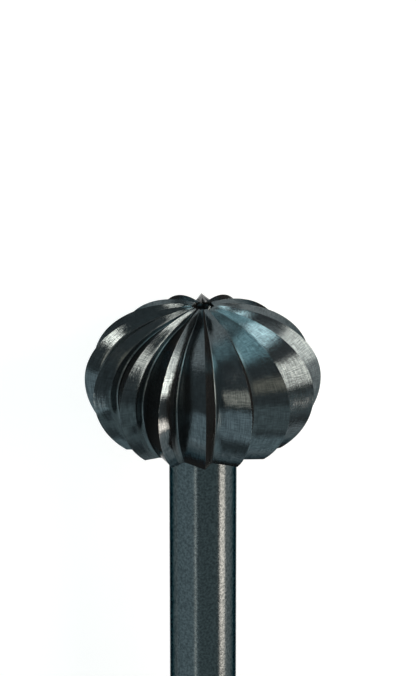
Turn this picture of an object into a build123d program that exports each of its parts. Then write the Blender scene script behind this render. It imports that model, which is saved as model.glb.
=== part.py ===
from build123d import *
import os
from math import acos, asin, atan, cos, degrees, pi, radians, sin, sqrt, tan

# A rotary burr: a flattened ball of sintered carbide with straight ratchet teeth,
# silver-brazed onto a ground steel shank. Lengths are in millimetres, angles in degrees.

# Cutting head. The widest ring of cutting edges lies at height 0 on the tool's own axis.
head_diameter = 8.2  # over the cutting edges at the widest ring
nose_height = 2.72  # widest ring to the nose
flank_height = 3.06  # widest ring to where the lower curve would close on the axis
back_height = 2.17  # widest ring to the flat back

# Ratchet teeth: a steep rake face, a narrow gullet floor and a long back.
teeth = 16
dome_steps = 14  # points that carry each line from the widest ring to the nose
gullet_depth = 0.78  # cutting edge to gullet root, at the widest ring
gullet_nose_drop = 0.26  # how far below the nose the gullet roots aim
gullet_run_out = 17.0  # last stretch of the climb to the nose, where the gullets level out
rake_lag = 4.9  # from a cutting edge round to the root of its gullet
floor_lag = 9.6  # from a cutting edge round to where the gullet floor meets the back
floor_depth = 0.66  # cutting edge to that line

# Centre recess in the nose, where all the gullets run out.
recess_diameter = 0.74
recess_depth = 0.5  # its straight wall, below the nose
recess_point_angle = 118.0  # full angle of its conical bottom

# Shank. Its turned-down spigot is brazed into a blind socket in the head's flat back.
shank_diameter = 2.35
overall_length = 44.5  # nose to the shank's free end
shank_chamfer = 0.2  # at the free end
spigot_diameter = 1.6
spigot_chamfer = 0.1
socket_depth = 2.4  # into the head, from its flat back
braze_gap = 0.05  # film of braze round the spigot, over its end and under the shoulder
braze_fillet = 0.12  # how far the film spreads past the shank on the head's back

head_radius = head_diameter / 2
shank_radius = shank_diameter / 2
spigot_radius = spigot_diameter / 2
socket_radius = spigot_radius + braze_gap
socket_top = socket_depth - back_height
spigot_top = socket_top - braze_gap
shoulder = -back_height - braze_gap
shank_end = nose_height - overall_length
pitch = 360 / teeth


def on_axis(angle, radius, height):
    """A point at this angle round the axis."""
    return Vector(radius * cos(radians(angle)), radius * sin(radians(angle)), height)


def tooth_lines():
    """Angle and depth of every line along the teeth: edge, gullet root and gullet floor in turn."""
    one_tooth = [(0.0, 0.0), (rake_lag, gullet_depth), (floor_lag, floor_depth)]
    return [(k * pitch + lag, depth) for k in range(teeth) for lag, depth in one_tooth]


def meridian(angle, depth):
    """One line along the teeth: an elliptic arc from the back to the widest ring, and another
    from there to the nose, lifted over its last stretch to end level with the cutting edges."""
    radius = head_radius - depth
    outward = on_axis(angle, 1, 0)
    plane = Plane(origin=(0, 0, 0), x_dir=outward, z_dir=outward.cross(Vector(0, 0, 1)))
    back_angle = degrees(asin(back_height / flank_height))
    nose_angle = degrees(acos(recess_diameter / 4 / radius))
    flank = Edge.make_ellipse(radius, flank_height, plane, -back_angle, 0)
    nose_drop = gullet_nose_drop * depth / gullet_depth
    points = []
    for step in range(dome_steps + 1):
        climb = nose_angle * step / dome_steps
        lifted = max(0, 1 - (nose_angle - climb) / gullet_run_out)
        top = nose_height - nose_drop * (1 + cos(pi * lifted)) / 2
        points.append(on_axis(angle, radius * cos(radians(climb)), top * sin(radians(climb))))
    dome = Edge.make_spline(points, tangents=[Vector(0, 0, 1), points[-1] - points[-2]])
    return flank, dome


def toothed_blank():
    """The solid between the tooth faces, closed by a flat back and, inside the recess, by a point."""
    lines = [meridian(angle, depth) for angle, depth in tooth_lines()]
    faces = []
    for this, following in zip(lines, lines[1:] + lines[:1]):
        for stretch in (0, 1):
            faces.append(Face.make_surface_from_curves(this[stretch], following[stretch]))
    back = [flank @ 0 for flank, dome in lines]
    faces.append(Face(Wire.make_polygon(back, close=True)))
    tip = Vector(0, 0, nose_height)
    nose = [dome @ 1 for flank, dome in lines]
    for a, b in zip(nose, nose[1:] + nose[:1]):
        faces.append(Face(Wire.make_polygon([a, b, tip], close=True)))
    return Solid(Shell(faces))


def turned(points):
    """A solid turned about the tool's axis from a half section of (radius, height) points."""
    section = Polyline(*[(radius, 0, height) for radius, height in points], close=True)
    return revolve(make_face(section), Axis.Z)


def centre_recess():
    radius = recess_diameter / 2
    floor = nose_height - recess_depth
    point = floor - radius / tan(radians(recess_point_angle / 2))
    above = nose_height + recess_depth
    return turned([(0, point), (radius, floor), (radius, above), (0, above)])


def cutting_head():
    socket = turned(
        [
            (0, -back_height - socket_depth),
            (socket_radius, -back_height - socket_depth),
            (socket_radius, socket_top),
            (0, socket_top),
        ]
    )
    return toothed_blank() - centre_recess() - socket


def shank():
    return turned(
        [
            (0, spigot_top),
            (spigot_radius - spigot_chamfer, spigot_top),
            (spigot_radius, spigot_top - spigot_chamfer),
            (spigot_radius, shoulder),
            (shank_radius, shoulder),
            (shank_radius, shank_end + shank_chamfer),
            (shank_radius - shank_chamfer, shank_end),
            (0, shank_end),
        ]
    )


def braze_joint():
    """A thin cup of braze round the spigot, with a brim between the shoulder and the head's back."""
    return turned(
        [
            (0, socket_top),
            (socket_radius, socket_top),
            (socket_radius, -back_height),
            (shank_radius + braze_fillet, -back_height),
            (shank_radius, shoulder),
            (spigot_radius, shoulder),
            (spigot_radius, spigot_top - spigot_chamfer),
            (spigot_radius - spigot_chamfer, spigot_top),
            (0, spigot_top),
        ]
    )


def rest_tilt():
    """How far the axis leans when two tooth edges and the shank's free end touch the ground."""
    edge_reach = head_radius * cos(pi / teeth)
    arm = -shank_end - shank_chamfer
    a = arm**2 - flank_height**2
    b = shank_radius * arm
    return degrees(atan((sqrt(b**2 + a * (edge_reach**2 - shank_radius**2)) - b) / a))


def at_rest(pieces):
    """Lays the tool along X, nose towards +X, with the ground at height 0 under its middle."""
    lay = Rot(0, 90 - rest_tilt(), 0) * Rot(0, 0, pitch / 2)
    laid = {name: lay * piece for name, piece in pieces.items()}
    box = Compound(list(laid.values())).bounding_box()
    ground = Pos(-box.center().X, -box.center().Y, -box.min.Z)
    return {name: ground * piece for name, piece in laid.items()}


pieces = at_rest(
    {
        "cutting_head": cutting_head(),
        "shank": shank(),
        "braze_joint": braze_joint(),
    }
)
os.makedirs("parts", exist_ok=True)
for name, piece in pieces.items():
    export_step(piece, f"parts/{name}.step")
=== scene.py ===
from math import acos, asin, cos, pi, radians, sin, tan

import bpy
from mathutils import Matrix, Vector


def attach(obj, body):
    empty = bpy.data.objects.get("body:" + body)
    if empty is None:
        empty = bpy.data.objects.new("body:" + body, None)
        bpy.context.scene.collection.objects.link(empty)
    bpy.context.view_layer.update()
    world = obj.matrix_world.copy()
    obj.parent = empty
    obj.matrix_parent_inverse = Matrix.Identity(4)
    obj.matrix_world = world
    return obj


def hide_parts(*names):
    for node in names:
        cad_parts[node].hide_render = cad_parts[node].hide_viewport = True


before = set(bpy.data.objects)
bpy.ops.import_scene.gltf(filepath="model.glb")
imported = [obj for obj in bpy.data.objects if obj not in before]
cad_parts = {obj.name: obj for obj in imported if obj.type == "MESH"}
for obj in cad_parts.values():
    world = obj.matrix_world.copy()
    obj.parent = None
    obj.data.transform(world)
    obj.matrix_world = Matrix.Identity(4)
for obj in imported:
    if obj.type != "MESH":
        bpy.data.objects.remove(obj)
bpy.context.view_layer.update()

# A rotary burr lying at rest: a toothed carbide head brazed onto a ground steel shank.
# Sizes are in millimetres and angles in degrees; MM turns them into scene metres.
MM = 0.001

# The head, measured in the tool's own frame: nose up, height 0 at the widest ring.
HEAD_RADIUS = 4.1
NOSE_HEIGHT = 2.718  # a hair under the solid's 2.72, so that the dome stays inside its box
FLANK_HEIGHT = 3.06
BACK_HEIGHT = 2.17
TEETH = 16
PITCH = 360 / TEETH
GULLET_DEPTH = 0.78
GULLET_NOSE_DROP = 0.26
RECESS_RADIUS = 0.37
RECESS_DEPTH = 0.5
SOCKET_RADIUS = 0.85
SOCKET_TOP = 0.23
SOCKET_CUT_LENGTH = 8  # of the cutter that sinks the socket, well past the flat back

# One tooth's section at the widest ring: how far round from its cutting edge, and how deep.
KNEE_LAG, KNEE_DEPTH = 5.2, 0.5
ROOT_LAG = 5.25
FLOOR_LAG, FLOOR_DEPTH = 9.6, 0.66
KNEE_STRAIGHTENS = (-6, -19)  # latitudes between which the knee goes flat
JOIN_TEETH = 0.004  # points this close belong to both of two neighbouring teeth
JOIN_CUTS = 0.0002  # and this close to one corner of a cut
CORNER_ANGLE = 32  # edges that bend more stay sharp

SHANK_RADIUS = 1.175
SHANK_CHAMFER = 0.2
SHANK_END = -41.78
SPIGOT_RADIUS = 0.8
SPIGOT_CHAMFER = 0.1
SPIGOT_TOP = 0.18
SHOULDER = -2.22
BRAZE_FILLET = 0.12
BRAZE_HOLLOW = (0.03, 0.02)  # out and up from the shoulder: where the hollow fillet passes
WALL_STEPS = 60  # rings along the shank

# Finishes, as marks per millimetre. Real wheel marks and grain are finer than this: they are
# drawn as coarse as they need to be to show.
GRIT_SCALE = 14.0
WAVE_SCALE = 2.2
# The glint scale sets the speckles of painted highlight along the chipped cutting edges.
PAINTED_GLINT_SCALE = 11.0
STEEL_RINGS = (1.5, 1.5, 20)  # across the shank twice, and along it
STEEL_GRAIN_SCALE = 12.0
BRAZE_SKIN_SCALE = 6.0
# On the head, as marks per radian round the axis and from back to nose. At the widest ring a
# wheel mark is about 0.03 mm wide and 0.6 mm long, and a chatter mark 0.34 by 0.04 mm.
WHEEL_MARKS = (140, 7, 1)
CHATTER_MARKS = (12, 105, 1)

# ---------------------------------------------------------------- the tool's place
# It lies on two tooth edges and the rim of the shank's free end, as the solids do.
REST_TILT = 3.923388
HEAD_CENTRE = Vector((19.51168, 0, 4.01726)) * MM
LAY = (
    Matrix.Translation(HEAD_CENTRE)
    @ Matrix.Rotation(radians(90 - REST_TILT), 4, "Y")
    @ Matrix.Rotation(radians(PITCH / 2), 4, "Z")
)
TO_NOSE = (LAY.to_3x3() @ Vector((0, 0, 1))).normalized()
VIEW_SIDE = 189.79 - PITCH / 2  # round the tool, from its first tooth edge
FRONT = LAY.to_3x3() @ Vector((cos(radians(VIEW_SIDE)), sin(radians(VIEW_SIDE)), 0))
RIGHT = TO_NOSE.cross(FRONT)


# ---------------------------------------------------------------- nodes
def add(tree, kind, inputs=None, **settings):
    """Adds a node. Each input takes a value, a socket, or a node for its first live output."""
    made = tree.nodes.new(kind)
    for name, value in settings.items():
        setattr(made, name, value)
    for key, value in (inputs or {}).items():
        if isinstance(value, bpy.types.Node):
            value = next(o for o in value.outputs if o.enabled)
        if isinstance(value, bpy.types.NodeSocket):
            tree.links.new(value, made.inputs[key])
        else:
            made.inputs[key].default_value = value
    return made


def srgb(code):
    """An sRGB hex colour as linear RGBA."""
    parts = [int(code[i : i + 2], 16) / 255 for i in (1, 3, 5)]
    return tuple(c / 12.92 if c <= 0.04045 else ((c + 0.055) / 1.055) ** 2.4 for c in parts) + (1,)


def new_material(name):
    material = bpy.data.materials.new(name)
    material.use_nodes = True
    material.node_tree.nodes.clear()
    return material, material.node_tree


def tool_coordinates(tree):
    """Object coordinates turned back into the tool's own frame, in millimetres."""
    place = add(tree, "ShaderNodeTexCoord")
    own = add(
        tree,
        "ShaderNodeMapping",
        {
            "Vector": place.outputs["Object"],
            "Location": LAY.to_translation(),
            "Rotation": LAY.to_euler(),
            "Scale": (MM, MM, MM),
        },
        vector_type="TEXTURE",
    )
    return own


# ---------------------------------------------------------------- materials
def ground_carbide():
    """Sintered tungsten carbide, form-ground: dark grey metal crosshatched by wheel marks that tear
    each highlight's rim. Chipped spots on the cutting edges are painted near-white as glints, a
    painted highlight, and the gullets are painted lighter, painted light that lifts their shade."""
    material, tree = new_material("form_ground_tungsten_carbide")
    own = tool_coordinates(tree)
    xyz = add(tree, "ShaderNodeSeparateXYZ", {"Vector": own})
    angle = add(
        tree, "ShaderNodeMath", {0: xyz.outputs["Y"], 1: xyz.outputs["X"]}, operation="ARCTAN2"
    )
    radius = add(tree, "ShaderNodeVectorMath", {0: own, 1: (1, 1, 0)}, operation="MULTIPLY")
    radius = add(tree, "ShaderNodeVectorMath", {0: radius}, operation="LENGTH")
    latitude = add(
        tree,
        "ShaderNodeMath",
        {0: xyz.outputs["Z"], 1: radius.outputs["Value"]},
        operation="ARCTAN2",
    )
    # Wheel marks run along a tooth, and chatter marks cross them.
    around = add(tree, "ShaderNodeCombineXYZ", {"X": angle, "Y": latitude})
    streaks = add(
        tree,
        "ShaderNodeTexNoise",
        {
            "Vector": add(
                tree, "ShaderNodeVectorMath", {0: around, 1: WHEEL_MARKS}, operation="MULTIPLY"
            ),
            "Scale": 1.0,
            "Detail": 3.0,
            "Roughness": 0.6,
        },
    )
    chatter = add(
        tree,
        "ShaderNodeTexNoise",
        {
            "Vector": add(
                tree, "ShaderNodeVectorMath", {0: around, 1: CHATTER_MARKS}, operation="MULTIPLY"
            ),
            "Scale": 1.0,
            "Detail": 3.0,
            "Roughness": 0.6,
        },
    )
    grit = add(tree, "ShaderNodeTexNoise", {"Vector": own, "Scale": GRIT_SCALE, "Detail": 3.0})
    waves = add(tree, "ShaderNodeTexNoise", {"Vector": own, "Scale": WAVE_SCALE, "Detail": 1.0})
    relief = add(tree, "ShaderNodeMath", {0: streaks, 1: chatter}, operation="ADD")
    relief = add(tree, "ShaderNodeMath", {0: relief, 1: grit}, operation="ADD")
    relief = add(tree, "ShaderNodeMath", {0: waves, 1: 0.8, 2: relief}, operation="MULTIPLY_ADD")
    bump = add(
        tree, "ShaderNodeBump", {"Height": relief, "Strength": 0.5, "Distance": 0.004 * MM}
    )
    gloss = add(
        tree,
        "ShaderNodeMapRange",
        {"Value": grit, "From Min": 0.3, "From Max": 0.7, "To Min": 0.07, "To Max": 0.14},
    )
    # Chipped edges and the roots of the gullets are duller.
    gullet = add(tree, "ShaderNodeAttribute", attribute_name="gullet")
    edge = add(tree, "ShaderNodeAttribute", attribute_name="edge_near")
    # A mask of chipped spots along the cutting edges: it dulls them, and below it also paints them
    # near-white as a painted highlight.
    chips_and_painted_glint = add(tree, "ShaderNodeTexNoise", {"Vector": own, "Scale": PAINTED_GLINT_SCALE, "Detail": 2.0})
    chips_and_painted_glint = add(tree, "ShaderNodeMapRange", {"Value": chips_and_painted_glint, "From Min": 0.48, "From Max": 0.58})
    chips_and_painted_glint = add(
        tree, "ShaderNodeMath", {0: chips_and_painted_glint, 1: edge.outputs["Fac"]}, operation="MULTIPLY"
    )
    gloss = add(tree, "ShaderNodeMath", {0: chips_and_painted_glint, 1: 0.4, 2: gloss}, operation="MULTIPLY_ADD")
    gloss = add(
        tree,
        "ShaderNodeMath",
        {0: gullet.outputs["Fac"], 1: 0.35, 2: gloss},
        operation="MULTIPLY_ADD",
    )
    hatch = add(tree, "ShaderNodeMath", {0: streaks, 1: chatter}, operation="MULTIPLY")
    hatch = add(
        tree, "ShaderNodeMapRange", {"Value": hatch, "From Min": 0.17, "From Max": 0.34}
    )
    colour = add(
        tree,
        "ShaderNodeMix",
        {"Factor": hatch, 6: srgb("#3d4447"), 7: srgb("#5c6467")},
        data_type="RGBA",
    )
    # The gullets take a lighter colour than the faces around them: painted light that lifts the
    # shade in them.
    colour = add(
        tree,
        "ShaderNodeMix",
        {"Factor": gullet.outputs["Fac"], 6: colour.outputs[2], 7: srgb("#5a6264")},
        data_type="RGBA",
    )
    # The chipped spots' near-white colour is a painted highlight, only partly the bare metal of the
    # chips.
    colour = add(
        tree,
        "ShaderNodeMix",
        {"Factor": chips_and_painted_glint, 6: colour.outputs[2], 7: srgb("#d6d8d4")},
        data_type="RGBA",
    )
    # A thin rough coat spreads a faint sheen over the faces.
    shader = add(
        tree,
        "ShaderNodeBsdfPrincipled",
        {
            "Base Color": colour.outputs[2],
            "Metallic": 1.0,
            "Roughness": gloss,
            "Specular Tint": srgb("#464d50"),
            "Coat Weight": 0.25,
            "Coat Roughness": 0.8,
            "Normal": bump,
        },
    )
    add(tree, "ShaderNodeOutputMaterial", {"Surface": shader})
    return material


def ground_steel():
    """Centreless-ground tool steel: a satin grain that breaks up the long highlights, with
    faint rings round the shank."""
    material, tree = new_material("centreless_ground_steel")
    own = tool_coordinates(tree)
    rings = add(
        tree,
        "ShaderNodeTexNoise",
        {
            "Vector": add(
                tree, "ShaderNodeVectorMath", {0: own, 1: STEEL_RINGS}, operation="MULTIPLY"
            ),
            "Scale": 1.0,
            "Detail": 3.0,
        },
    )
    grain = add(
        tree, "ShaderNodeTexNoise", {"Vector": own, "Scale": STEEL_GRAIN_SCALE, "Detail": 3.0}
    )
    relief = add(tree, "ShaderNodeMath", {0: rings, 1: grain}, operation="ADD")
    bump = add(tree, "ShaderNodeBump", {"Height": relief, "Strength": 0.6, "Distance": 0.004 * MM})
    shade = add(
        tree, "ShaderNodeMapRange", {"Value": grain, "From Min": 0.35, "From Max": 0.65}
    )
    colour = add(
        tree,
        "ShaderNodeMix",
        {"Factor": shade, 6: srgb("#3a4143"), 7: srgb("#525a5c")},
        data_type="RGBA",
    )
    shader = add(
        tree,
        "ShaderNodeBsdfPrincipled",
        {
            "Base Color": colour.outputs[2],
            "Metallic": 1.0,
            "Roughness": 0.17,
            "Specular Tint": srgb("#848c8e"),
            "Normal": bump,
        },
    )
    add(tree, "ShaderNodeOutputMaterial", {"Surface": shader})
    return material


def silver_braze():
    """Silver brazing alloy: a dull, slightly yellow metal that froze with a soft skin."""
    material, tree = new_material("silver_brazing_alloy")
    own = tool_coordinates(tree)
    skin = add(
        tree, "ShaderNodeTexNoise", {"Vector": own, "Scale": BRAZE_SKIN_SCALE, "Detail": 4.0}
    )
    bump = add(tree, "ShaderNodeBump", {"Height": skin, "Strength": 0.4, "Distance": 0.01 * MM})
    shader = add(
        tree,
        "ShaderNodeBsdfPrincipled",
        {"Base Color": srgb("#8f8873"), "Metallic": 1.0, "Roughness": 0.4, "Normal": bump},
    )
    add(tree, "ShaderNodeOutputMaterial", {"Surface": shader})
    return material


# ---------------------------------------------------------------- the cutting head
def at(lag, depth):
    """A point of the widest ring's section, this far round from a cutting edge and this deep."""
    radius = HEAD_RADIUS - depth
    return Vector((radius * cos(radians(lag)), radius * sin(radians(lag)), 0)) * MM


def bend(start, pull, end, steps):
    """Points along a quadratic curve, without its last one."""
    points = []
    for i in range(steps):
        t = i / steps
        points.append(start * (1 - t) ** 2 + pull * 2 * t * (1 - t) + end * t**2)
    return points


def tooth_section():
    """One tooth at the widest ring: a rake that ends in a knee, a steep gullet wall, a round
    root, the gullet's floor and a long back. Gives its points and, for each, how much it
    belongs to the gullet and how much it turns with the knee."""
    edge, knee, root = at(0, 0), at(KNEE_LAG, KNEE_DEPTH), at(ROOT_LAG, GULLET_DEPTH)
    floor, next_edge = at(FLOOR_LAG, FLOOR_DEPTH), at(PITCH, 0)
    rake_end = edge.lerp(knee, 0.85)
    below_knee = knee.lerp(root, 0.3)
    out_of_root = root.lerp(floor, 0.4)
    rake = [edge.lerp(rake_end, t) for t in (0, 0.04, 0.1, 0.25, 0.5, 0.75)]
    rake += bend(rake_end, knee, below_knee, 3)
    root_round = bend(below_knee, root, out_of_root, 7)
    back_steps = (0, 0.08, 0.2, 0.35, 0.5, 0.65, 0.78, 0.88, 0.95, 0.985, 1)
    back = [floor.lerp(next_edge, t) for t in back_steps]
    points = rake + root_round + [out_of_root] + back
    in_gullet = [0.0] * (len(rake) - 2) + [0.3] + [0.55] * (len(root_round) + 1) + [0.3]
    in_gullet += [0.0] * (len(points) - len(in_gullet))
    at_knee = [0.0, 0.034, 0.085, 0.21, 0.43, 0.64, 0.85, 0.95, 0.9, 0.7, 0.5, 0.3, 0.1]
    at_knee += [0.0] * (len(points) - len(at_knee))
    return points, in_gullet, at_knee


def toothed_head_tree():
    """Repeats one tooth's section round the axis, sweeps it along the profile and bores it."""
    tree = bpy.data.node_groups.new("toothed_head", "GeometryNodeTree")
    sockets = tree.interface
    sockets.new_socket("Geometry", in_out="OUTPUT", socket_type="NodeSocketGeometry")
    sockets.new_socket("Tooth Section", in_out="INPUT", socket_type="NodeSocketGeometry")
    for name, kind, value in (
        ("Teeth", "Int", TEETH),
        ("Rings", "Int", 170),
        ("Nose Height", "Float", NOSE_HEIGHT * MM),
        ("Nose Drop Rate", "Float", GULLET_NOSE_DROP / GULLET_DEPTH),
        ("Flank Height", "Float", FLANK_HEIGHT * MM),
        ("Head Radius", "Float", HEAD_RADIUS * MM),
        ("Back Angle", "Float", asin(BACK_HEIGHT / FLANK_HEIGHT)),
        ("Nose Angle", "Float", acos(RECESS_RADIUS / 2 / HEAD_RADIUS)),
        ("Run Out", "Float", radians(17)),
        ("Knee Turn", "Float", radians(-1.7)),
        ("Recess Radius", "Float", RECESS_RADIUS * MM),
        ("Recess Depth", "Float", RECESS_DEPTH * MM),
        ("Socket Radius", "Float", SOCKET_RADIUS * MM),
        ("Socket Top", "Float", SOCKET_TOP * MM),
        ("Wander", "Float", 0.08 * MM),
        ("Wander Lean", "Float", -0.3),
        ("Wander Scale", "Float", 0.45 / MM),
        ("Chip Depth", "Float", 0.012 * MM),
        ("Chip Scale", "Float", 7 / MM),
        ("Rim Raggedness", "Float", 0.14),
        ("Rim Scale", "Float", 4.5 / MM),
        ("Seed", "Float", 3.0),
        ("Material", "Material", None),
    ):
        socket = sockets.new_socket(name, in_out="INPUT", socket_type="NodeSocket" + kind)
        if value is not None:
            socket.default_value = value
    given = add(tree, "NodeGroupInput").outputs

    # The section ring: one tooth, turned round the axis and joined up.
    spots = add(tree, "GeometryNodePoints", {"Count": given["Teeth"]})
    number = add(tree, "GeometryNodeInputIndex")
    pitch = add(tree, "ShaderNodeMath", {0: 2 * pi, 1: given["Teeth"]}, operation="DIVIDE")
    turn = add(tree, "ShaderNodeMath", {0: number, 1: pitch}, operation="MULTIPLY")
    spin = add(tree, "ShaderNodeCombineXYZ", {"Z": turn})
    ring = add(
        tree,
        "GeometryNodeInstanceOnPoints",
        {"Points": spots, "Instance": given["Tooth Section"], "Rotation": spin},
    )
    ring = add(tree, "GeometryNodeRealizeInstances", {"Geometry": ring})
    ring = add(
        tree, "GeometryNodeMergeByDistance", {"Geometry": ring, "Distance": JOIN_TEETH * MM}
    )

    # Hand grinding: no two teeth are quite alike. They lean inwards, to stay in the solid's box.
    here = add(tree, "GeometryNodeInputPosition")
    wander = add(
        tree,
        "ShaderNodeTexNoise",
        {"Vector": here, "W": given["Seed"], "Scale": given["Wander Scale"], "Detail": 0.0},
        noise_dimensions="4D",
    )
    wander = add(
        tree,
        "ShaderNodeVectorMath",
        {0: wander.outputs["Color"], 1: (0.5, 0.5, 0.5)},
        operation="SUBTRACT",
    )
    inward = add(tree, "ShaderNodeVectorMath", {0: here}, operation="NORMALIZE")
    inward = add(
        tree, "ShaderNodeVectorMath", {0: inward, "Scale": given["Wander Lean"]}, operation="SCALE"
    )
    wander = add(tree, "ShaderNodeVectorMath", {0: wander, 1: inward}, operation="ADD")
    flatwise = add(tree, "ShaderNodeCombineXYZ", {"X": given["Wander"], "Y": given["Wander"]})
    wander = add(tree, "ShaderNodeVectorMath", {0: wander, 1: flatwise}, operation="MULTIPLY")
    ring = add(tree, "GeometryNodeSetPosition", {"Geometry": ring, "Offset": wander})
    reach = add(tree, "ShaderNodeVectorMath", {0: here}, operation="LENGTH")
    depth = add(
        tree,
        "ShaderNodeMath",
        {0: given["Head Radius"], 1: reach.outputs["Value"]},
        operation="SUBTRACT",
    )
    ring = add(tree, "GeometryNodeMeshToCurve", {"Mesh": ring})
    keep = tree.nodes.new("GeometryNodeCaptureAttribute")
    keep.domain = "POINT"
    keep.capture_items.new("VECTOR", "place")
    keep.capture_items.new("FLOAT", "depth")
    tree.links.new(ring.outputs[0], keep.inputs["Geometry"])
    tree.links.new(here.outputs[0], keep.inputs["place"])
    tree.links.new(depth.outputs[0], keep.inputs["depth"])

    # The sweep: how far round the profile each ring lies, from the back to the nose.
    rail = add(tree, "GeometryNodeCurvePrimitiveLine", {"Start": (0, 0, 0), "End": (0, 0, MM)})
    rail = add(tree, "GeometryNodeResampleCurve", {"Curve": rail, "Count": given["Rings"]})
    rail_keep = tree.nodes.new("GeometryNodeCaptureAttribute")
    rail_keep.domain = "POINT"
    rail_keep.capture_items.new("FLOAT", "factor")
    tree.links.new(rail.outputs[0], rail_keep.inputs["Geometry"])
    factor = add(tree, "GeometryNodeSplineParameter")
    tree.links.new(factor.outputs["Factor"], rail_keep.inputs["factor"])
    shell = add(
        tree,
        "GeometryNodeCurveToMesh",
        {
            "Curve": rail_keep.outputs["Geometry"],
            "Profile Curve": keep.outputs["Geometry"],
            "Fill Caps": True,
        },
    )
    back = add(tree, "ShaderNodeMath", {0: given["Back Angle"], 1: -1.0}, operation="MULTIPLY")
    climb = add(
        tree,
        "ShaderNodeMapRange",
        {"Value": rail_keep.outputs["factor"], "To Min": back, "To Max": given["Nose Angle"]},
    )
    shrink = add(tree, "ShaderNodeMath", {0: climb}, operation="COSINE")
    rise = add(tree, "ShaderNodeMath", {0: climb}, operation="SINE")
    drop = add(
        tree,
        "ShaderNodeMath",
        {0: keep.outputs["depth"], 1: given["Nose Drop Rate"]},
        operation="MULTIPLY",
    )
    level_from = add(
        tree,
        "ShaderNodeMath",
        {0: given["Nose Angle"], 1: given["Run Out"]},
        operation="SUBTRACT",
    )
    run_out = add(
        tree,
        "ShaderNodeMapRange",
        {
            "Value": climb,
            "From Min": level_from,
            "From Max": given["Nose Angle"],
            "To Min": 1.0,
            "To Max": 0.0,
        },
        interpolation_type="SMOOTHSTEP",
    )
    drop = add(tree, "ShaderNodeMath", {0: drop, 1: run_out}, operation="MULTIPLY")
    dome = add(tree, "ShaderNodeMath", {0: given["Nose Height"], 1: drop}, operation="SUBTRACT")
    below = add(tree, "ShaderNodeMath", {0: climb, 1: 0.0}, operation="LESS_THAN")
    tall = add(
        tree,
        "ShaderNodeMix",
        {0: below, 2: dome, 3: given["Flank Height"]},
        data_type="FLOAT",
    )
    height = add(tree, "ShaderNodeMath", {0: rise, 1: tall}, operation="MULTIPLY")
    flat = add(
        tree,
        "ShaderNodeVectorMath",
        {0: keep.outputs["place"], "Scale": shrink},
        operation="SCALE",
    )
    # Below the widest ring the knee turns back towards the cutting edge, and the rake runs flat.
    knee_turn = add(
        tree,
        "ShaderNodeMapRange",
        {
            "Value": climb,
            "From Min": radians(KNEE_STRAIGHTENS[0]),
            "From Max": radians(KNEE_STRAIGHTENS[1]),
            "To Max": given["Knee Turn"],
        },
        interpolation_type="SMOOTHSTEP",
    )
    knee = add(tree, "GeometryNodeInputNamedAttribute", {"Name": "knee"}, data_type="FLOAT")
    knee_turn = add(tree, "ShaderNodeMath", {0: knee_turn, 1: knee}, operation="MULTIPLY")
    flat = add(
        tree,
        "ShaderNodeVectorRotate",
        {"Vector": flat, "Angle": knee_turn},
        rotation_type="Z_AXIS",
    )
    lift = add(tree, "ShaderNodeCombineXYZ", {"Z": height})
    swept = add(tree, "ShaderNodeVectorMath", {0: flat, 1: lift}, operation="ADD")
    shell = add(tree, "GeometryNodeSetPosition", {"Geometry": shell, "Position": swept})

    # Chips along the cutting edges.
    edge_near = add(
        tree,
        "ShaderNodeMapRange",
        {
            "Value": keep.outputs["depth"],
            "From Min": 0.0,
            "From Max": 0.03 * MM,
            "To Min": 1.0,
            "To Max": 0.0,
        },
    )
    chips = add(
        tree,
        "ShaderNodeTexNoise",
        {"Vector": here, "W": given["Seed"], "Scale": given["Chip Scale"], "Detail": 2.0},
        noise_dimensions="4D",
    )
    chips = add(
        tree,
        "ShaderNodeMapRange",
        {"Value": chips, "From Min": 0.45, "From Max": 0.75, "To Min": 0.0, "To Max": 1.0},
    )
    chips = add(tree, "ShaderNodeMath", {0: chips, 1: edge_near}, operation="MULTIPLY")
    chips = add(tree, "ShaderNodeMath", {0: chips, 1: given["Chip Depth"]}, operation="MULTIPLY")
    inward = add(tree, "ShaderNodeVectorMath", {0: here}, operation="NORMALIZE")
    chipped = add(tree, "ShaderNodeMath", {0: chips, 1: -1.0}, operation="MULTIPLY")
    inward = add(
        tree, "ShaderNodeVectorMath", {0: inward, "Scale": chipped}, operation="SCALE"
    )
    shell = add(tree, "GeometryNodeSetPosition", {"Geometry": shell, "Offset": inward})
    shell = add(
        tree,
        "GeometryNodeStoreNamedAttribute",
        {"Geometry": shell, "Name": "edge_near", "Value": edge_near},
        data_type="FLOAT",
        domain="POINT",
    )

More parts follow.
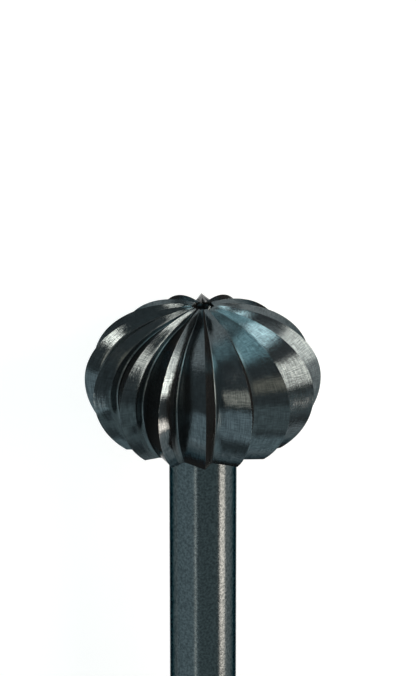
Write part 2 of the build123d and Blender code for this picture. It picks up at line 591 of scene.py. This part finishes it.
    # The ragged recess in the nose and the blind socket in the back.
    two_deep = add(tree, "ShaderNodeMath", {0: given["Recess Depth"], 1: 2.0}, operation="MULTIPLY")
    bore = add(
        tree,
        "GeometryNodeMeshCylinder",
        {"Vertices": 64, "Side Segments": 12, "Radius": given["Recess Radius"], "Depth": two_deep},
    )
    ragged = add(
        tree,
        "ShaderNodeTexNoise",
        {"Vector": here, "W": given["Seed"], "Scale": given["Rim Scale"], "Detail": 1.0},
        noise_dimensions="4D",
    )
    narrower = add(
        tree, "ShaderNodeMath", {0: given["Rim Raggedness"], 1: -1.0}, operation="MULTIPLY"
    )
    ragged = add(
        tree,
        "ShaderNodeMapRange",
        {
            "Value": ragged,
            "From Min": 0.3,
            "From Max": 0.7,
            "To Min": narrower,
            "To Max": given["Rim Raggedness"],
        },
    )
    sideways = add(tree, "ShaderNodeVectorMath", {0: here, 1: (1, 1, 0)}, operation="MULTIPLY")
    ragged = add(tree, "ShaderNodeVectorMath", {0: sideways, "Scale": ragged}, operation="SCALE")
    bore = add(tree, "GeometryNodeSetPosition", {"Geometry": bore, "Offset": ragged})
    nose = add(tree, "ShaderNodeCombineXYZ", {"Z": given["Nose Height"]})
    bore = add(tree, "GeometryNodeTransform", {"Geometry": bore, "Translation": nose})
    socket_cut = add(
        tree,
        "GeometryNodeMeshCylinder",
        {
            "Vertices": 64,
            "Radius": given["Socket Radius"],
            "Depth": SOCKET_CUT_LENGTH * MM,
        },
    )
    middle = add(
        tree,
        "ShaderNodeMath",
        {0: given["Socket Top"], 1: SOCKET_CUT_LENGTH / 2 * MM},
        operation="SUBTRACT",
    )
    middle = add(tree, "ShaderNodeCombineXYZ", {"Z": middle})
    socket_cut = add(
        tree, "GeometryNodeTransform", {"Geometry": socket_cut, "Translation": middle}
    )
    cut = tree.nodes.new("GeometryNodeMeshBoolean")
    cut.operation = "DIFFERENCE"
    cut.solver = "MANIFOLD"
    tree.links.new(shell.outputs[0], cut.inputs["Mesh 1"])
    tree.links.new(bore.outputs[0], cut.inputs["Mesh 2"])
    tree.links.new(socket_cut.outputs[0], cut.inputs["Mesh 2"])

    # Smooth faces, with the real corners kept sharp.
    whole = add(
        tree,
        "GeometryNodeMergeByDistance",
        {"Geometry": cut.outputs["Mesh"], "Distance": JOIN_CUTS * MM},
    )
    smooth = add(
        tree,
        "GeometryNodeSetShadeSmooth",
        {"Geometry": whole, "Shade Smooth": True},
        domain="FACE",
    )
    bend_angle = add(tree, "GeometryNodeInputMeshEdgeAngle")
    corner = add(
        tree,
        "ShaderNodeMath",
        {0: bend_angle.outputs[0], 1: radians(CORNER_ANGLE)},
        operation="GREATER_THAN",
    )
    smooth = add(
        tree,
        "GeometryNodeSetShadeSmooth",
        {"Geometry": smooth, "Selection": corner, "Shade Smooth": False},
        domain="EDGE",
    )
    done = add(tree, "GeometryNodeRealizeInstances", {"Geometry": smooth})
    done = add(tree, "GeometryNodeSetMaterial", {"Geometry": done, "Material": given["Material"]})
    add(tree, "NodeGroupOutput", {"Geometry": done})
    return tree


def set_input(modifier, name, value):
    """Sets a modifier's input through the identifier of the socket with this name."""
    for item in modifier.node_group.interface.items_tree:
        if item.item_type == "SOCKET" and item.in_out == "INPUT" and item.name == name:
            modifier[item.identifier] = value


def grown(name, mesh, tree, **values):
    """The mesh that a node tree makes from a base mesh, as a finished object laid in place."""
    base = bpy.data.objects.new(name + "_base", mesh)
    bpy.context.scene.collection.objects.link(base)
    modifier = base.modifiers.new("build", "NODES")
    modifier.node_group = tree
    for key, value in values.items():
        set_input(modifier, key.replace("_", " "), value)
    graph = bpy.context.evaluated_depsgraph_get()
    finished = bpy.data.meshes.new_from_object(base.evaluated_get(graph))
    bpy.data.objects.remove(base)
    finished.name = name
    finished.transform(LAY)
    piece = bpy.data.objects.new(name, finished)
    bpy.context.scene.collection.objects.link(piece)
    return piece


def toothed_head():
    points, in_gullet, at_knee = tooth_section()
    section = bpy.data.meshes.new("tooth_section")
    links = [(i, i + 1) for i in range(len(points) - 1)]
    section.from_pydata([tuple(p) for p in points], links, [])
    section.attributes.new("gullet", "FLOAT", "POINT").data.foreach_set("value", in_gullet)
    section.attributes.new("knee", "FLOAT", "POINT").data.foreach_set("value", at_knee)
    return grown("toothed_head", section, toothed_head_tree(), Material=ground_carbide())


# ---------------------------------------------------------------- the turned pieces
def turned(name, half_section, material, sides=128):
    """A solid turned about the tool's axis from (radius, height) points, laid in place."""
    verts, faces, rings = [], [], []
    for radius, height in half_section:
        if radius == 0:
            rings.append([len(verts)])
            verts.append((0, 0, height * MM))
            continue
        rings.append(list(range(len(verts), len(verts) + sides)))
        for i in range(sides):
            a = 2 * pi * i / sides
            verts.append((radius * cos(a) * MM, radius * sin(a) * MM, height * MM))
    for low, high in zip(rings, rings[1:]):
        for i in range(sides):
            j = (i + 1) % sides
            if len(low) == 1:
                faces.append((low[0], high[j], high[i]))
            elif len(high) == 1:
                faces.append((low[i], low[j], high[0]))
            else:
                faces.append((low[i], low[j], high[j], high[i]))
    mesh = bpy.data.meshes.new(name)
    mesh.from_pydata(verts, [], faces)
    mesh.transform(LAY)
    mesh.materials.append(material)
    mesh.shade_smooth()
    mesh.set_sharp_from_angle(angle=radians(20))
    piece = bpy.data.objects.new(name, mesh)
    bpy.context.scene.collection.objects.link(piece)
    return piece


def steel_shank():
    wall_start = SHANK_END + SHANK_CHAMFER
    wall_length = SHOULDER - SHANK_END - SHANK_CHAMFER
    long_wall = [
        (SHANK_RADIUS, wall_start + wall_length * i / WALL_STEPS) for i in range(WALL_STEPS + 1)
    ]
    return turned(
        "ground_shank",
        [(0, SHANK_END), (SHANK_RADIUS - SHANK_CHAMFER, SHANK_END)]
        + long_wall
        + [
            (SPIGOT_RADIUS, SHOULDER),
            (SPIGOT_RADIUS, SPIGOT_TOP - SPIGOT_CHAMFER),
            (SPIGOT_RADIUS - SPIGOT_CHAMFER, SPIGOT_TOP),
            (0, SPIGOT_TOP),
        ],
        ground_steel(),
    )


def braze():
    return turned(
        "braze_fillet",
        [
            (0, SPIGOT_TOP),
            (SPIGOT_RADIUS - SPIGOT_CHAMFER, SPIGOT_TOP),
            (SPIGOT_RADIUS, SPIGOT_TOP - SPIGOT_CHAMFER),
            (SPIGOT_RADIUS, SHOULDER),
            (SHANK_RADIUS, SHOULDER),
            (SHANK_RADIUS + BRAZE_HOLLOW[0], SHOULDER + BRAZE_HOLLOW[1]),
            (SHANK_RADIUS + BRAZE_FILLET, -BACK_HEIGHT),
            (SOCKET_RADIUS, -BACK_HEIGHT),
            (SOCKET_RADIUS, SOCKET_TOP),
            (0, SOCKET_TOP),
        ],
        silver_braze(),
    )


# ---------------------------------------------------------------- studio
FLOOR_HALF = 500
FLOOR_GLOW = 0.72  # with the lamps' light on the paper, this just reaches white

FAR, NEAR, CLOSE = 120, 35, 20  # how far a soft box stands from the head

# The camera, from the middle of the head's widest ring.
VIEW_TILT = 22.337  # how far it looks down from the nose side
VIEW_RIGHT, VIEW_FRONT, VIEW_TO_NOSE = 0.1777, 117.73, 49.87
LENS = 197.63
SENSOR = 36


def studio_floor():
    """A plain white floor that stays white to the eye and still takes the tool's shadow."""
    half = FLOOR_HALF * MM
    mesh = bpy.data.meshes.new("floor")
    mesh.from_pydata(
        [(-half, -half, 0), (half, -half, 0), (half, half, 0), (-half, half, 0)], [], [(0, 1, 2, 3)]
    )
    material, tree = new_material("white_paper")
    paper = add(tree, "ShaderNodeBsdfDiffuse", {"Color": srgb("#b8b8b8")})
    path = add(tree, "ShaderNodeLightPath")
    seen = add(
        tree,
        "ShaderNodeMath",
        {0: path.outputs["Is Camera Ray"], 1: path.outputs["Is Glossy Ray"]},
        operation="MAXIMUM",
    )
    seen = add(
        tree,
        "ShaderNodeMath",
        {0: seen, 1: path.outputs["Is Transmission Ray"]},
        operation="MAXIMUM",
    )
    lit = add(tree, "ShaderNodeMath", {0: seen, 1: FLOOR_GLOW}, operation="MULTIPLY")
    glow = add(tree, "ShaderNodeEmission", {"Color": (1, 1, 1, 1), "Strength": lit})
    both = add(tree, "ShaderNodeAddShader", {0: paper, 1: glow})
    add(tree, "ShaderNodeOutputMaterial", {"Surface": both})
    mesh.materials.append(material)
    floor = bpy.data.objects.new("floor", mesh)
    bpy.context.scene.collection.objects.link(floor)


def soft_box(name, azimuths, elevations, distance, brightness, colour):
    """A studio soft box that faces the head and fills this range of angles, seen from it:
    round from the front to the right, and up towards the nose. Brightness is that of its face."""
    a, e = radians(sum(azimuths) / 2), radians(sum(elevations) / 2)
    outward = cos(e) * (cos(a) * FRONT + sin(a) * RIGHT) + sin(e) * TO_NOSE
    across = cos(a) * RIGHT - sin(a) * FRONT
    upward = outward.cross(across)
    half_width = radians(azimuths[1] - azimuths[0]) / 2 * cos(e)
    half_height = radians(elevations[1] - elevations[0]) / 2
    lamp = bpy.data.lights.new(name, "AREA")
    lamp.shape = "RECTANGLE"
    lamp.size = 2 * tan(half_width) * distance * MM
    lamp.size_y = 2 * tan(half_height) * distance * MM
    lamp.color = srgb(colour)[:3]
    lamp.energy = brightness * pi * lamp.size * lamp.size_y
    box = bpy.data.objects.new(name, lamp)
    bpy.context.scene.collection.objects.link(box)
    box.matrix_world = (
        Matrix.Translation(HEAD_CENTRE + outward * distance * MM)
        @ Matrix((across, upward, outward)).transposed().to_4x4()
    )


def studio_lamps():
    soft_box("nose_box", (8, 60), (60, 83), FAR, 6.5, "#dcf3f4")
    soft_box("nose_fill", (-75, 8), (57, 80), FAR, 2.9, "#a3ccd2")
    soft_box("crown_fill", (-110, -75), (44, 62), FAR, 1.2, "#a3ccd2")
    soft_box("left_box", (-60, -50), (21, 33), CLOSE, 12.0, "#fff1e2")
    soft_box("gold_box", (-52, -38), (-2, 17), FAR, 1.8, "#ffeed8")
    soft_box("slim_strip", (36, 52), (-3, 35), FAR, 5.5, "#fff1e2")
    soft_box("side_strip", (55, 75), (3, 34), NEAR, 12.0, "#fff1e2")
    soft_box("side_box", (75, 92), (2, 40), NEAR, 5.5, "#fff1e2")
    soft_box("front_box", (-6, 14), (10, 29), FAR, 0.7, "#ffe9c8")
    soft_box("low_strip", (59, 83), (-32, -24), FAR, 10.0, "#ffe6d6")
    soft_box("thin_strip", (-28, -23), (-38, -18), FAR, 2.4, "#ffeedd")
    soft_box("left_panel", (-100, -17), (-52, -12), FAR, 1.25, "#bacbd0")
    soft_box("low_panel", (-17, 58), (-52, -15), FAR, 0.5, "#bcd0d0")
    soft_box("back_panel", (-75, 75), (-88, -60), FAR, 1.1, "#b8ccd0")
    world = bpy.data.worlds.new("dim_room")
    world.use_nodes = True
    world.node_tree.nodes.clear()
    room = add(
        world.node_tree, "ShaderNodeBackground", {"Color": srgb("#b4c6cb"), "Strength": 0.35}
    )
    add(world.node_tree, "ShaderNodeOutputWorld", {"Surface": room})
    bpy.context.scene.world = world


def camera():
    e = radians(VIEW_TILT)
    offset = VIEW_RIGHT * RIGHT + VIEW_FRONT * FRONT + VIEW_TO_NOSE * TO_NOSE
    position = HEAD_CENTRE + offset * MM
    upward = -sin(e) * FRONT + cos(e) * TO_NOSE
    backward = cos(e) * FRONT + sin(e) * TO_NOSE
    lens = bpy.data.cameras.new("camera")
    lens.lens = LENS
    lens.sensor_width = SENSOR
    lens.clip_start = 0.001
    view = bpy.data.objects.new("camera", lens)
    view.matrix_world = (
        Matrix.Translation(position) @ Matrix((RIGHT, upward, backward)).transposed().to_4x4()
    )
    bpy.context.scene.collection.objects.link(view)
    bpy.context.scene.camera = view


# ---------------------------------------------------------------- assembly
camera()
studio_floor()
studio_lamps()
bpy.context.scene.view_settings.view_transform = "Standard"

for piece, node, slot in (
    (toothed_head(), "cutting_head", "carbide"),
    (steel_shank(), "shank", "steel"),
    (braze(), "braze_joint", "braze"),
):
    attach(piece, "root")
    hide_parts(node)
